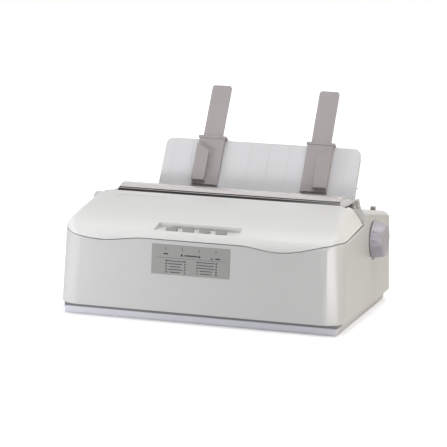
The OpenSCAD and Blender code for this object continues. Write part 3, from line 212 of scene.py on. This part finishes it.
def build_grain():
    """Fine mould grain with a slow drift in tone: Height for bump, Drift for colour and gloss."""
    group = bpy.data.node_groups.new("mould_grain", "ShaderNodeTree")
    socket(group, "Grain Scale", "INPUT", value=1400)
    socket(group, "Drift Scale", "INPUT", value=9)
    socket(group, "Height", "OUTPUT")
    socket(group, "Drift", "OUTPUT")
    n, l = group.nodes, group.links
    entry, leave = n.new("NodeGroupInput"), n.new("NodeGroupOutput")
    place = n.new("ShaderNodeTexCoord")
    fine, slow = n.new("ShaderNodeTexNoise"), n.new("ShaderNodeTexNoise")
    fine.inputs["Detail"].default_value = 3
    slow.inputs["Detail"].default_value = 4
    for texture, scale in ((fine, "Grain Scale"), (slow, "Drift Scale")):
        l.new(place.outputs["Object"], texture.inputs["Vector"])
        l.new(entry.outputs[scale], texture.inputs["Scale"])
    l.new(fine.outputs["Fac"], leave.inputs["Height"])
    l.new(slow.outputs["Fac"], leave.inputs["Drift"])
    return group


mould_grain = build_grain()


def shader(name):
    """A new material with only its Principled shader."""
    made = bpy.data.materials.new(name)
    made.use_nodes = True
    tree = made.node_tree
    return made, tree.nodes, tree.links, tree.nodes["Principled BSDF"]


def tone(n, l, low, high, factor, face):
    """Runs the colour between two tones by a factor that changes over the surface."""
    blend = n.new("ShaderNodeMix")
    blend.data_type = "RGBA"
    blend.inputs["A"].default_value = (*low, 1)
    blend.inputs["B"].default_value = (*high, 1)
    l.new(factor, blend.inputs["Factor"])
    l.new(blend.outputs["Result"], face.inputs["Base Color"])


def gloss(n, l, low, high, factor, face):
    """Runs the roughness between two values by a factor that changes over the surface."""
    span = n.new("ShaderNodeMapRange")
    span.inputs["From Min"].default_value = 0.3
    span.inputs["From Max"].default_value = 0.7
    span.inputs["To Min"].default_value = low
    span.inputs["To Max"].default_value = high
    l.new(factor, span.inputs["Value"])
    l.new(span.outputs["Result"], face.inputs["Roughness"])


def relief(n, l, height, face, depth, strength=0.35):
    """Turns a height into a bump on the surface."""
    bump = n.new("ShaderNodeBump")
    bump.inputs["Strength"].default_value = strength
    bump.inputs["Distance"].default_value = depth
    l.new(height, bump.inputs["Height"])
    l.new(bump.outputs["Normal"], face.inputs["Normal"])


def moulded(name, colour, rough=0.45, grain=1400, depth=0.00006, drift=0.03, coat=0.0):
    """Injection-moulded plastic with its mould grain."""
    made, n, l, face = shader(name)
    skin = n.new("ShaderNodeGroup")
    skin.node_tree = mould_grain
    skin.inputs["Grain Scale"].default_value = grain
    tone(n, l, [c * (1 - drift) for c in colour], [min(1, c * (1 + drift)) for c in colour],
        skin.outputs["Drift"], face)
    gloss(n, l, rough - 0.04, rough + 0.05, skin.outputs["Drift"], face)
    relief(n, l, skin.outputs["Height"], face, depth)
    face.inputs["Coat Roughness"].default_value = 0.25
    face.inputs["Coat Weight"].default_value = coat
    return made


def paint(node, material):
    """Gives a CAD node its finish."""
    nodes[node].data.materials.clear()
    nodes[node].data.materials.append(material)


def settle(piece, body, material):
    """Places a finished piece on its body with its finish."""
    piece.data.materials.clear()
    piece.data.materials.append(material)
    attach(piece, body)


def eased(node, name, body, material, edge, crease=25, steps=2):
    """Merged copy of a CAD node whose sharp edges are eased by a small bevel."""
    bpy.ops.object.select_all(action="DESELECT")
    piece = bpy.data.objects.new(name, nodes[node].data.copy())
    scene.collection.objects.link(piece)
    bpy.context.view_layer.objects.active = piece
    piece.select_set(True)
    bpy.ops.object.mode_set(mode="EDIT")
    bpy.ops.mesh.select_all(action="SELECT")
    weld, flat = 0.000005, math.radians(0.5)
    bpy.ops.mesh.remove_doubles(threshold=weld)
    bpy.ops.mesh.dissolve_limited(angle_limit=flat)
    bpy.ops.mesh.normals_make_consistent(inside=False)
    bpy.ops.object.mode_set(mode="OBJECT")
    bevel = piece.modifiers.new("eased_edges", "BEVEL")
    bevel.width = edge
    bevel.segments = steps
    bevel.limit_method = "ANGLE"
    bevel.angle_limit = math.radians(40)
    bpy.ops.object.modifier_apply(modifier=bevel.name)
    bpy.ops.object.shade_smooth_by_angle(angle=math.radians(crease))
    even = piece.modifiers.new("even_normals", "WEIGHTED_NORMAL")
    even.keep_sharp = True
    bpy.ops.object.modifier_apply(modifier=even.name)
    settle(piece, body, material)
    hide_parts(node)


tray_plastic = moulded("tray_plastic", (0.7, 0.7, 0.77), 0.42)
tray_nodes, tray_links = tray_plastic.node_tree.nodes, tray_plastic.node_tree.links
tray_face = tray_nodes["Principled BSDF"]
# A dark band, placed by its height, is painted shade: it stands for the shadow in the gap under
# the case's lower edge
tray_place = tray_nodes.new("ShaderNodeTexCoord")
tray_axes = tray_nodes.new("ShaderNodeSeparateXYZ")
tray_shade_band = tray_nodes.new("ShaderNodeMapRange")
tray_shade_band.inputs["From Min"].default_value = 0.0099
tray_shade_band.inputs["From Max"].default_value = 0.0112
# Mixes the painted shade's dark colour over the tray's own tone
tray_shaded_tone = tray_nodes.new("ShaderNodeMix")
tray_shaded_tone.data_type = "RGBA"
tray_shaded_tone.inputs["B"].default_value = (0.2, 0.2, 0.21, 1)
tray_links.new(tray_place.outputs["Object"], tray_axes.inputs[0])
tray_links.new(tray_axes.outputs["Z"], tray_shade_band.inputs["Value"])
tray_links.new(tray_shade_band.outputs["Result"], tray_shaded_tone.inputs["Factor"])
tray_links.new(tray_face.inputs["Base Color"].links[0].from_socket, tray_shaded_tone.inputs["A"])
tray_links.new(tray_shaded_tone.outputs["Result"], tray_face.inputs["Base Color"])
eased("base_tray", "tray_moulding", "case", tray_plastic, 0.0003)

# ---- Feet and case screws ----
# Four black rubber pads pressed into the tray, the rubber pinch rollers of the same
# compound, and the zinc-plated screws that hold the upper case down.
foot_rubber = moulded("foot_rubber", (0.02, 0.02, 0.021), 0.8, grain=700, depth=0.0002)
paint("rubber_feet", foot_rubber)
paint("pinch_rollers", foot_rubber)


def metal(name, colour, rough, along=(1, 1, 1), brush=260, depth=0.00002, drift=0.08):
    """Bare metal with fine machining or rolling marks drawn out along one direction."""
    made, n, l, face = shader(name)
    place = n.new("ShaderNodeTexCoord")
    draw = n.new("ShaderNodeMapping")
    draw.inputs["Scale"].default_value = along
    marks = n.new("ShaderNodeTexNoise")
    marks.inputs["Scale"].default_value = brush
    marks.inputs["Detail"].default_value = 4
    skin = n.new("ShaderNodeGroup")
    skin.node_tree = mould_grain
    skin.inputs["Drift Scale"].default_value = 22
    l.new(place.outputs["Object"], draw.inputs["Vector"])
    l.new(draw.outputs["Vector"], marks.inputs["Vector"])
    tone(n, l, [c * (1 - drift) for c in colour], [min(1, c * (1 + drift)) for c in colour],
        skin.outputs["Drift"], face)
    gloss(n, l, rough - 0.07, rough + 0.08, marks.outputs["Fac"], face)
    relief(n, l, marks.outputs["Fac"], face, depth, 0.3)
    face.inputs["Metallic"].default_value = 1
    return made


zinc = metal("zinc_plate", (0.62, 0.64, 0.66), 0.34, (1, 1, 0.2))
for part in ("case_screws", "left_side_frame", "right_side_frame", "chassis_plate", "idler_post"):
    paint(part, zinc)

# ---- Upper case ----
# The large pearl-grey moulding round the whole mechanism, screwed down on the tray. Its satin
# skin has a soft gloss over the fine mould grain.
case_plastic = moulded("case_plastic", (0.585, 0.585, 0.585), 0.42, grain=1800,
    depth=0.00003, drift=0.012, coat=1.0)
eased("upper_case", "case_moulding", "case", case_plastic, 0.0005)

# ---- Case risers ----
# Short upright walls of the case's own moulding, one at each end of the deck's front edge.
# They close the step between the deck and the lower ends of the access cover. The CAD case
# lacks them, so they exist only here.
riser_front, riser_back = -0.0199, -0.0186
deck_line, cover_line = -0.0192, -0.0225
riser_start, riser_step, riser_rows = 0.1635, 0.0004, 46
above = 0.2
case_middle = (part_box("upper_case")[0][0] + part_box("upper_case")[1][0]) / 2
down = Vector((0, 0, -1))
case_tree, cover_tree = (BVHTree.FromPolygons([v.co for v in nodes[n].data.vertices],
    [f.vertices for f in nodes[n].data.polygons]) for n in ("upper_case", "access_cover"))
for side, name in ((1, "right_riser"), (-1, "left_riser")):
    rows = []
    for i in range(riser_rows):
        x = case_middle + side * (riser_start + riser_step * i)
        deck = case_tree.ray_cast(Vector((x, deck_line, above)), down)[0]
        cover = cover_tree.ray_cast(Vector((x, cover_line, above)), down)[0]
        if not deck or not cover:
            continue
        under = case_tree.ray_cast(deck - Vector((0, 0, 0.0004)), down)[0]
        if under and under.z > cover.z - 0.001:
            rows.append((x, under.z + 0.0008, cover.z - 0.004))
    points, faces = [], []
    for x, high, low in rows:
        points += [(x, riser_front, high), (x, riser_front, low),
            (x, riser_back, low), (x, riser_back, high)]
    for i in range(len(rows) - 1):
        for k in range(4):
            here, beside = 4 * i + k, 4 * i + (k + 1) % 4
            faces.append((here, beside, beside + 4, here + 4))
    faces += [(0, 1, 2, 3), tuple(4 * len(rows) - n for n in (1, 2, 3, 4))]
    riser_mesh = bpy.data.meshes.new(name)
    riser_mesh.from_pydata(points, [], faces)
    riser = bpy.data.objects.new(name, riser_mesh)
    scene.collection.objects.link(riser)
    settle(riser, "case", case_plastic)

# ---- Front label ----
# A grey polyester film let into the front wall. Its print is plain: ticks, triangles, short
# bars and dots in rows, with no lettering.
label_film = moulded("label_film", (0.35, 0.35, 0.345), 0.32, grain=2600, depth=0.00001,
    drift=0.02)
paint("front_label", label_film)
label_low, label_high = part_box("front_label")
label_middle = (label_low + label_high) / 2
label_width, label_height, label_slope = 0.101, 0.037, math.radians(-1.808)
ink_depth, ink_forward, triangle_radius = 0.00006, 0.00038, 0.0022
print_ink = moulded("print_ink", (0.04, 0.04, 0.042), 0.5, grain=2600, depth=0.00001)
bpy.ops.object.select_all(action="DESELECT")
bpy.ops.mesh.primitive_cube_add(size=1, location=(0, 0, 0))
label_print = bpy.context.active_object
label_print.name = "label_print"
bpy.ops.object.mode_set(mode="EDIT")
bpy.ops.mesh.select_all(action="SELECT")
bpy.ops.mesh.delete(type="VERT")
# Each bar has its place across and down the label, from 0 to 1, and its width and height
bars = [(across, 0.14, 0.0006, 0.0045) for across in (0.18, 0.39, 0.606, 0.82)]
bars += [(0.18, 0.31, 0.006, 0.0016), (0.505, 0.33, 0.017, 0.0015), (0.845, 0.36, 0.006, 0.0016)]
bars.append((0.5, 0.44, 0.091, 0.00025))
for row, (left_len, right_len) in enumerate(((0.024, 0.022), (0.018, 0.02), (0.014, 0.021),
        (0.019, 0.016), (0.013, 0.015))):
    level = 0.54 + row * 0.095
    bars += [(0.305, level, left_len, 0.0009), (0.7, level - 0.02, right_len, 0.0009)]
    bars += [(0.19, level, 0.0018, 0.0018), (0.43, level, 0.0016, 0.0016)]
    bars += [(0.585, level - 0.02, 0.0014, 0.0014), (0.83, level - 0.02, 0.0018, 0.0018)]
for across, level, width, height in bars:
    bpy.ops.mesh.primitive_cube_add(size=1, scale=(width, ink_depth, height),
        location=((across - 0.5) * label_width, 0, (0.5 - level) * label_height))
for across, level, spin in ((0.385, 0.33, 0), (0.61, 0.34, math.pi), (0.775, 0.37, math.pi / 4)):
    bpy.ops.mesh.primitive_cylinder_add(vertices=3, radius=triangle_radius, depth=ink_depth,
        location=((across - 0.5) * label_width, 0, (0.5 - level) * label_height),
        rotation=(math.pi / 2, 0, spin))
bpy.ops.object.mode_set(mode="OBJECT")
label_print.data.transform(Matrix.Translation(label_middle + Vector((0, -ink_forward, 0)))
    @ Matrix.Rotation(label_slope, 4, "X"))
settle(label_print, "case", print_ink)

# ---- Access cover ----
# The white moulded lid over the ribbon, on two hinge pins at its rear edge. The button recess
# and the bare badge recess are moulded in.
cover_plastic = moulded("cover_plastic", (0.715, 0.715, 0.71), 0.4, grain=1800,
    depth=0.00003, drift=0.012, coat=0.2)
eased("access_cover", "cover_moulding", "access_cover", cover_plastic, 0.0005,
    crease=44)

# ---- Buttons and switch board ----
# Four light-grey moulded keys, each with a groove across its top, that press on a small
# green circuit board under the lid. The control board in the tray is made the same way.
button_plastic = moulded("button_plastic", (0.37, 0.37, 0.365), 0.42)
for i in range(1, 5):
    eased(f"button_{i}", f"key_{i}", f"button_{i}", button_plastic, 0.0006,
        steps=3)


def board(name):
    """Green solder mask over copper tracks, with fine tin-plated pads."""
    made, n, l, face = shader(name)
    place = n.new("ShaderNodeTexCoord")
    tracks = n.new("ShaderNodeTexBrick")
    tracks.inputs["Scale"].default_value = 60
    tracks.inputs["Mortar Size"].default_value = 0.06
    tracks.inputs["Color1"].default_value = (0.02, 0.13, 0.06, 1)
    tracks.inputs["Color2"].default_value = (0.025, 0.15, 0.07, 1)
    tracks.inputs["Mortar"].default_value = (0.05, 0.24, 0.11, 1)
    pads = n.new("ShaderNodeTexVoronoi")
    pads.inputs["Scale"].default_value = 210
    spot = n.new("ShaderNodeMath")
    spot.operation = "LESS_THAN"
    spot.inputs[1].default_value = 0.16
    mix = n.new("ShaderNodeMix")
    mix.data_type = "RGBA"
    mix.inputs["B"].default_value = (0.6, 0.58, 0.5, 1)
    l.new(place.outputs["Object"], tracks.inputs["Vector"])
    l.new(place.outputs["Object"], pads.inputs["Vector"])
    l.new(pads.outputs["Distance"], spot.inputs[0])
    l.new(tracks.outputs["Color"], mix.inputs["A"])
    l.new(spot.outputs[0], mix.inputs["Factor"])
    l.new(mix.outputs["Result"], face.inputs["Base Color"])
    l.new(spot.outputs[0], face.inputs["Metallic"])
    relief(n, l, tracks.outputs["Fac"], face, 0.00005)
    face.inputs["Roughness"].default_value = 0.3
    return made


board_green = board("solder_mask")
paint("switch_board", board_green)
paint("control_board", board_green)

# ---- Smoked cover ----
# Clear acrylic with a faint smoke tint, arched over the platen to keep dust and noise in. It
# swings up on two pins at its rear.


def clear_plastic(name, colour, rough, weight, depth=0.00002, scale=30):
    """Clear or frosted plastic with the faint waviness of its moulding."""
    made, n, l, face = shader(name)
    skin = n.new("ShaderNodeGroup")
    skin.node_tree = mould_grain
    skin.inputs["Grain Scale"].default_value = scale
    tone(n, l, [c * 0.97 for c in colour], colour, skin.outputs["Drift"], face)
    gloss(n, l, rough, rough + 0.04, skin.outputs["Drift"], face)
    relief(n, l, skin.outputs["Height"], face, depth, 0.2)
    face.inputs["Transmission Weight"].default_value = weight
    face.inputs["IOR"].default_value = 1.49
    return made


smoke_weight = 0.4
smoke = clear_plastic("smoked_acrylic", (0.88, 0.84, 0.83), 0.07, smoke_weight)
smoke_nodes, smoke_links = smoke.node_tree.nodes, smoke.node_tree.links
smoke_face = smoke_nodes["Principled BSDF"]
smoke_face.inputs["Coat Roughness"].default_value = 0.04
smoke_face.inputs["Coat IOR"].default_value = 1.9
# Two dark lines, placed by their depth in Y, are painted shade along the foot of the arch and the
# fold above it, standing for the shadowed crease and gap at the cover's front lip. They lose
# their coat and their clearness there too.
smoke_place = smoke_nodes.new("ShaderNodeTexCoord")
smoke_axes = smoke_nodes.new("ShaderNodeSeparateXYZ")
smoke_shade_span = smoke_nodes.new("ShaderNodeMapRange")
smoke_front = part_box("smoked_cover")[0][1]
smoke_shade_span.inputs["From Min"].default_value = smoke_front - 0.001
smoke_shade_span.inputs["From Max"].default_value = smoke_front + 0.019
smoke_shade_lines = smoke_nodes.new("ShaderNodeValToRGB")
smoke_shade_stops = smoke_shade_lines.color_ramp.elements
smoke_shade_stops[0].position, smoke_shade_stops[0].color = 0.55, (0, 0, 0, 1)
smoke_shade_stops[1].position, smoke_shade_stops[1].color = 0.565, (0.6, 0.6, 0.6, 1)
for spot, level in ((0.6, 0.7), (0.615, 0), (0.69, 0), (0.705, 1)):
    smoke_shade_stops.new(spot).color = (level, level, level, 1)
# The painted shade's near-black colour, laid over the smoke tint along the two lines
smoke_shaded_tone = smoke_nodes.new("ShaderNodeMix")
smoke_shaded_tone.data_type = "RGBA"
smoke_shaded_tone.inputs["A"].default_value = (0.003, 0.0025, 0.003, 1)
smoke_links.new(smoke_place.outputs["Object"], smoke_axes.inputs[0])
smoke_links.new(smoke_axes.outputs["Y"], smoke_shade_span.inputs["Value"])
smoke_links.new(smoke_shade_span.outputs["Result"], smoke_shade_lines.inputs["Fac"])
smoke_links.new(smoke_shade_lines.outputs["Color"], smoke_shaded_tone.inputs["Factor"])
smoke_links.new(smoke_face.inputs["Base Color"].links[0].from_socket, smoke_shaded_tone.inputs["B"])
smoke_links.new(smoke_shaded_tone.outputs["Result"], smoke_face.inputs["Base Color"])
smoke_links.new(smoke_shade_lines.outputs["Color"], smoke_face.inputs["Coat Weight"])
smoke_clear = smoke_nodes.new("ShaderNodeMath")
smoke_clear.operation = "MULTIPLY"
smoke_clear.inputs[1].default_value = smoke_weight
smoke_links.new(smoke_shade_lines.outputs["Color"], smoke_clear.inputs[0])
smoke_links.new(smoke_clear.outputs[0], smoke_face.inputs["Transmission Weight"])
eased("smoked_cover", "smoked_moulding", "smoked_cover", smoke, 0.0003, steps=1)

# ---- Sheet support ----
# A thin frosted plate that the paper leans on, with shallow grooves across its width and a
# wall at each side. It tilts on two pins in the case.
frost = clear_plastic("frosted_plastic", (0.86, 0.86, 0.88), 0.42, 0.3)
eased("sheet_support", "support_plate", "sheet_support", frost, 0.0002, steps=1)

# ---- Edge guides and their arms ----
# Smoky mouldings that slide along the support to the paper's width, each with a flat arm of
# the same plastic that draws out upwards and stays by friction.
guide_smoke = clear_plastic("guide_plastic", (0.53, 0.49, 0.495), 0.3, 0.3)
for part, form in (("guide", "moulding"), ("arm", "blade")):
    for side in ("left", "right"):
        eased(f"{side}_{part}", f"{side}_{part}_{form}", f"{side}_{part}",
            guide_smoke, 0.0003)

# ---- Platen, shaft and knob ----
# The ground black rubber platen on its steel shaft, turned by the ribbed grey knob pressed on
# the shaft's right end. The carriage rod and the lever's stud are of the same ground steel.
platen_rubber = moulded("platen_rubber", (0.018, 0.018, 0.019), 0.62, grain=900, depth=0.0001)
paint("platen_roller", platen_rubber)
ground_steel = metal("ground_steel", (0.6, 0.61, 0.62), 0.22, (0.15, 1, 1))
for part in ("platen_shaft", "carriage_rod", "lever_stud"):
    paint(part, ground_steel)
knob_plastic = moulded("knob_plastic", (0.42, 0.41, 0.465), 0.36)
eased("platen_knob", "knob_moulding", "platen", knob_plastic, 0.0006, steps=3)

# ---- Feed gears, bushes and motors ----
# Natural nylon gears driven by a brass pinion, with sintered bronze bushes in the side frames
# and black painted motor cans.
nylon = moulded("nylon", (0.72, 0.71, 0.62), 0.4, grain=900, depth=0.00005)
for part in ("platen_gear", "feed_idler_gear", "idler_pulley"):
    paint(part, nylon)
brass = metal("brass", (0.72, 0.56, 0.28), 0.3, (0.3, 1, 1))
paint("feed_pinion", brass)
paint("motor_pulley", brass)
paint("platen_bushes", metal("sintered_bronze", (0.42, 0.3, 0.17), 0.5, brush=700, depth=0.0001))
motor_paint = moulded("motor_paint", (0.05, 0.05, 0.053), 0.4, grain=1100, depth=0.0001)
paint("feed_motor", motor_paint)
paint("carriage_motor", motor_paint)

# ---- Chute, carriage, head and ribbon ----
# Black glass-filled mouldings, the finned alloy print head, the rubber belt that draws the
# carriage, and the inked woven ribbon in its cartridge with a blue knob.
dark_plastic = moulded("dark_plastic", (0.028, 0.028, 0.03), 0.5, grain=1200, depth=0.0001)
for part in ("paper_chute", "carriage", "ribbon_cartridge", "power_inlet", "power_switch_body",
        "power_rocker"):
    paint(part, dark_plastic)
paint("print_head", moulded("head_alloy", (0.035, 0.035, 0.038), 0.55, grain=600, depth=0.0002))
paint("drive_belt", moulded("belt_rubber", (0.015, 0.015, 0.015), 0.7, grain=900, depth=0.0002))
paint("ribbon_knob", moulded("knob_blue", (0.06, 0.16, 0.33), 0.4))


def woven(name, colour, pitch):
    """Plain weave in the XZ plane."""
    made, n, l, face = shader(name)
    place = n.new("ShaderNodeTexCoord")
    waves = []
    for way in ("X", "Z"):
        wave = n.new("ShaderNodeTexWave")
        wave.bands_direction = way
        wave.inputs["Scale"].default_value = 1 / pitch
        l.new(place.outputs["Object"], wave.inputs["Vector"])
        waves.append(wave)
    cross = n.new("ShaderNodeMath")
    cross.operation = "MULTIPLY"
    l.new(waves[0].outputs["Fac"], cross.inputs[0])
    l.new(waves[1].outputs["Fac"], cross.inputs[1])
    tone(n, l, [c * 0.6 for c in colour], colour, cross.outputs[0], face)
    gloss(n, l, 0.7, 0.9, cross.outputs[0], face)
    relief(n, l, cross.outputs[0], face, 0.0001)
    return made


paint("ink_ribbon", woven("inked_cloth", (0.02, 0.02, 0.026), 0.004))

# ---- Sockets, supply and release lever ----
# The folded zinc sheet round the power supply and the interface port at the back, and the
# grey moulded lever on the right that frees the paper.
folded_sheet = metal("folded_sheet", (0.6, 0.61, 0.62), 0.36, (1, 0.2, 1))
paint("interface_port", folded_sheet)
paint("power_supply", folded_sheet)
paint("release_lever", moulded("lever_plastic", (0.42, 0.4, 0.37), 0.4))
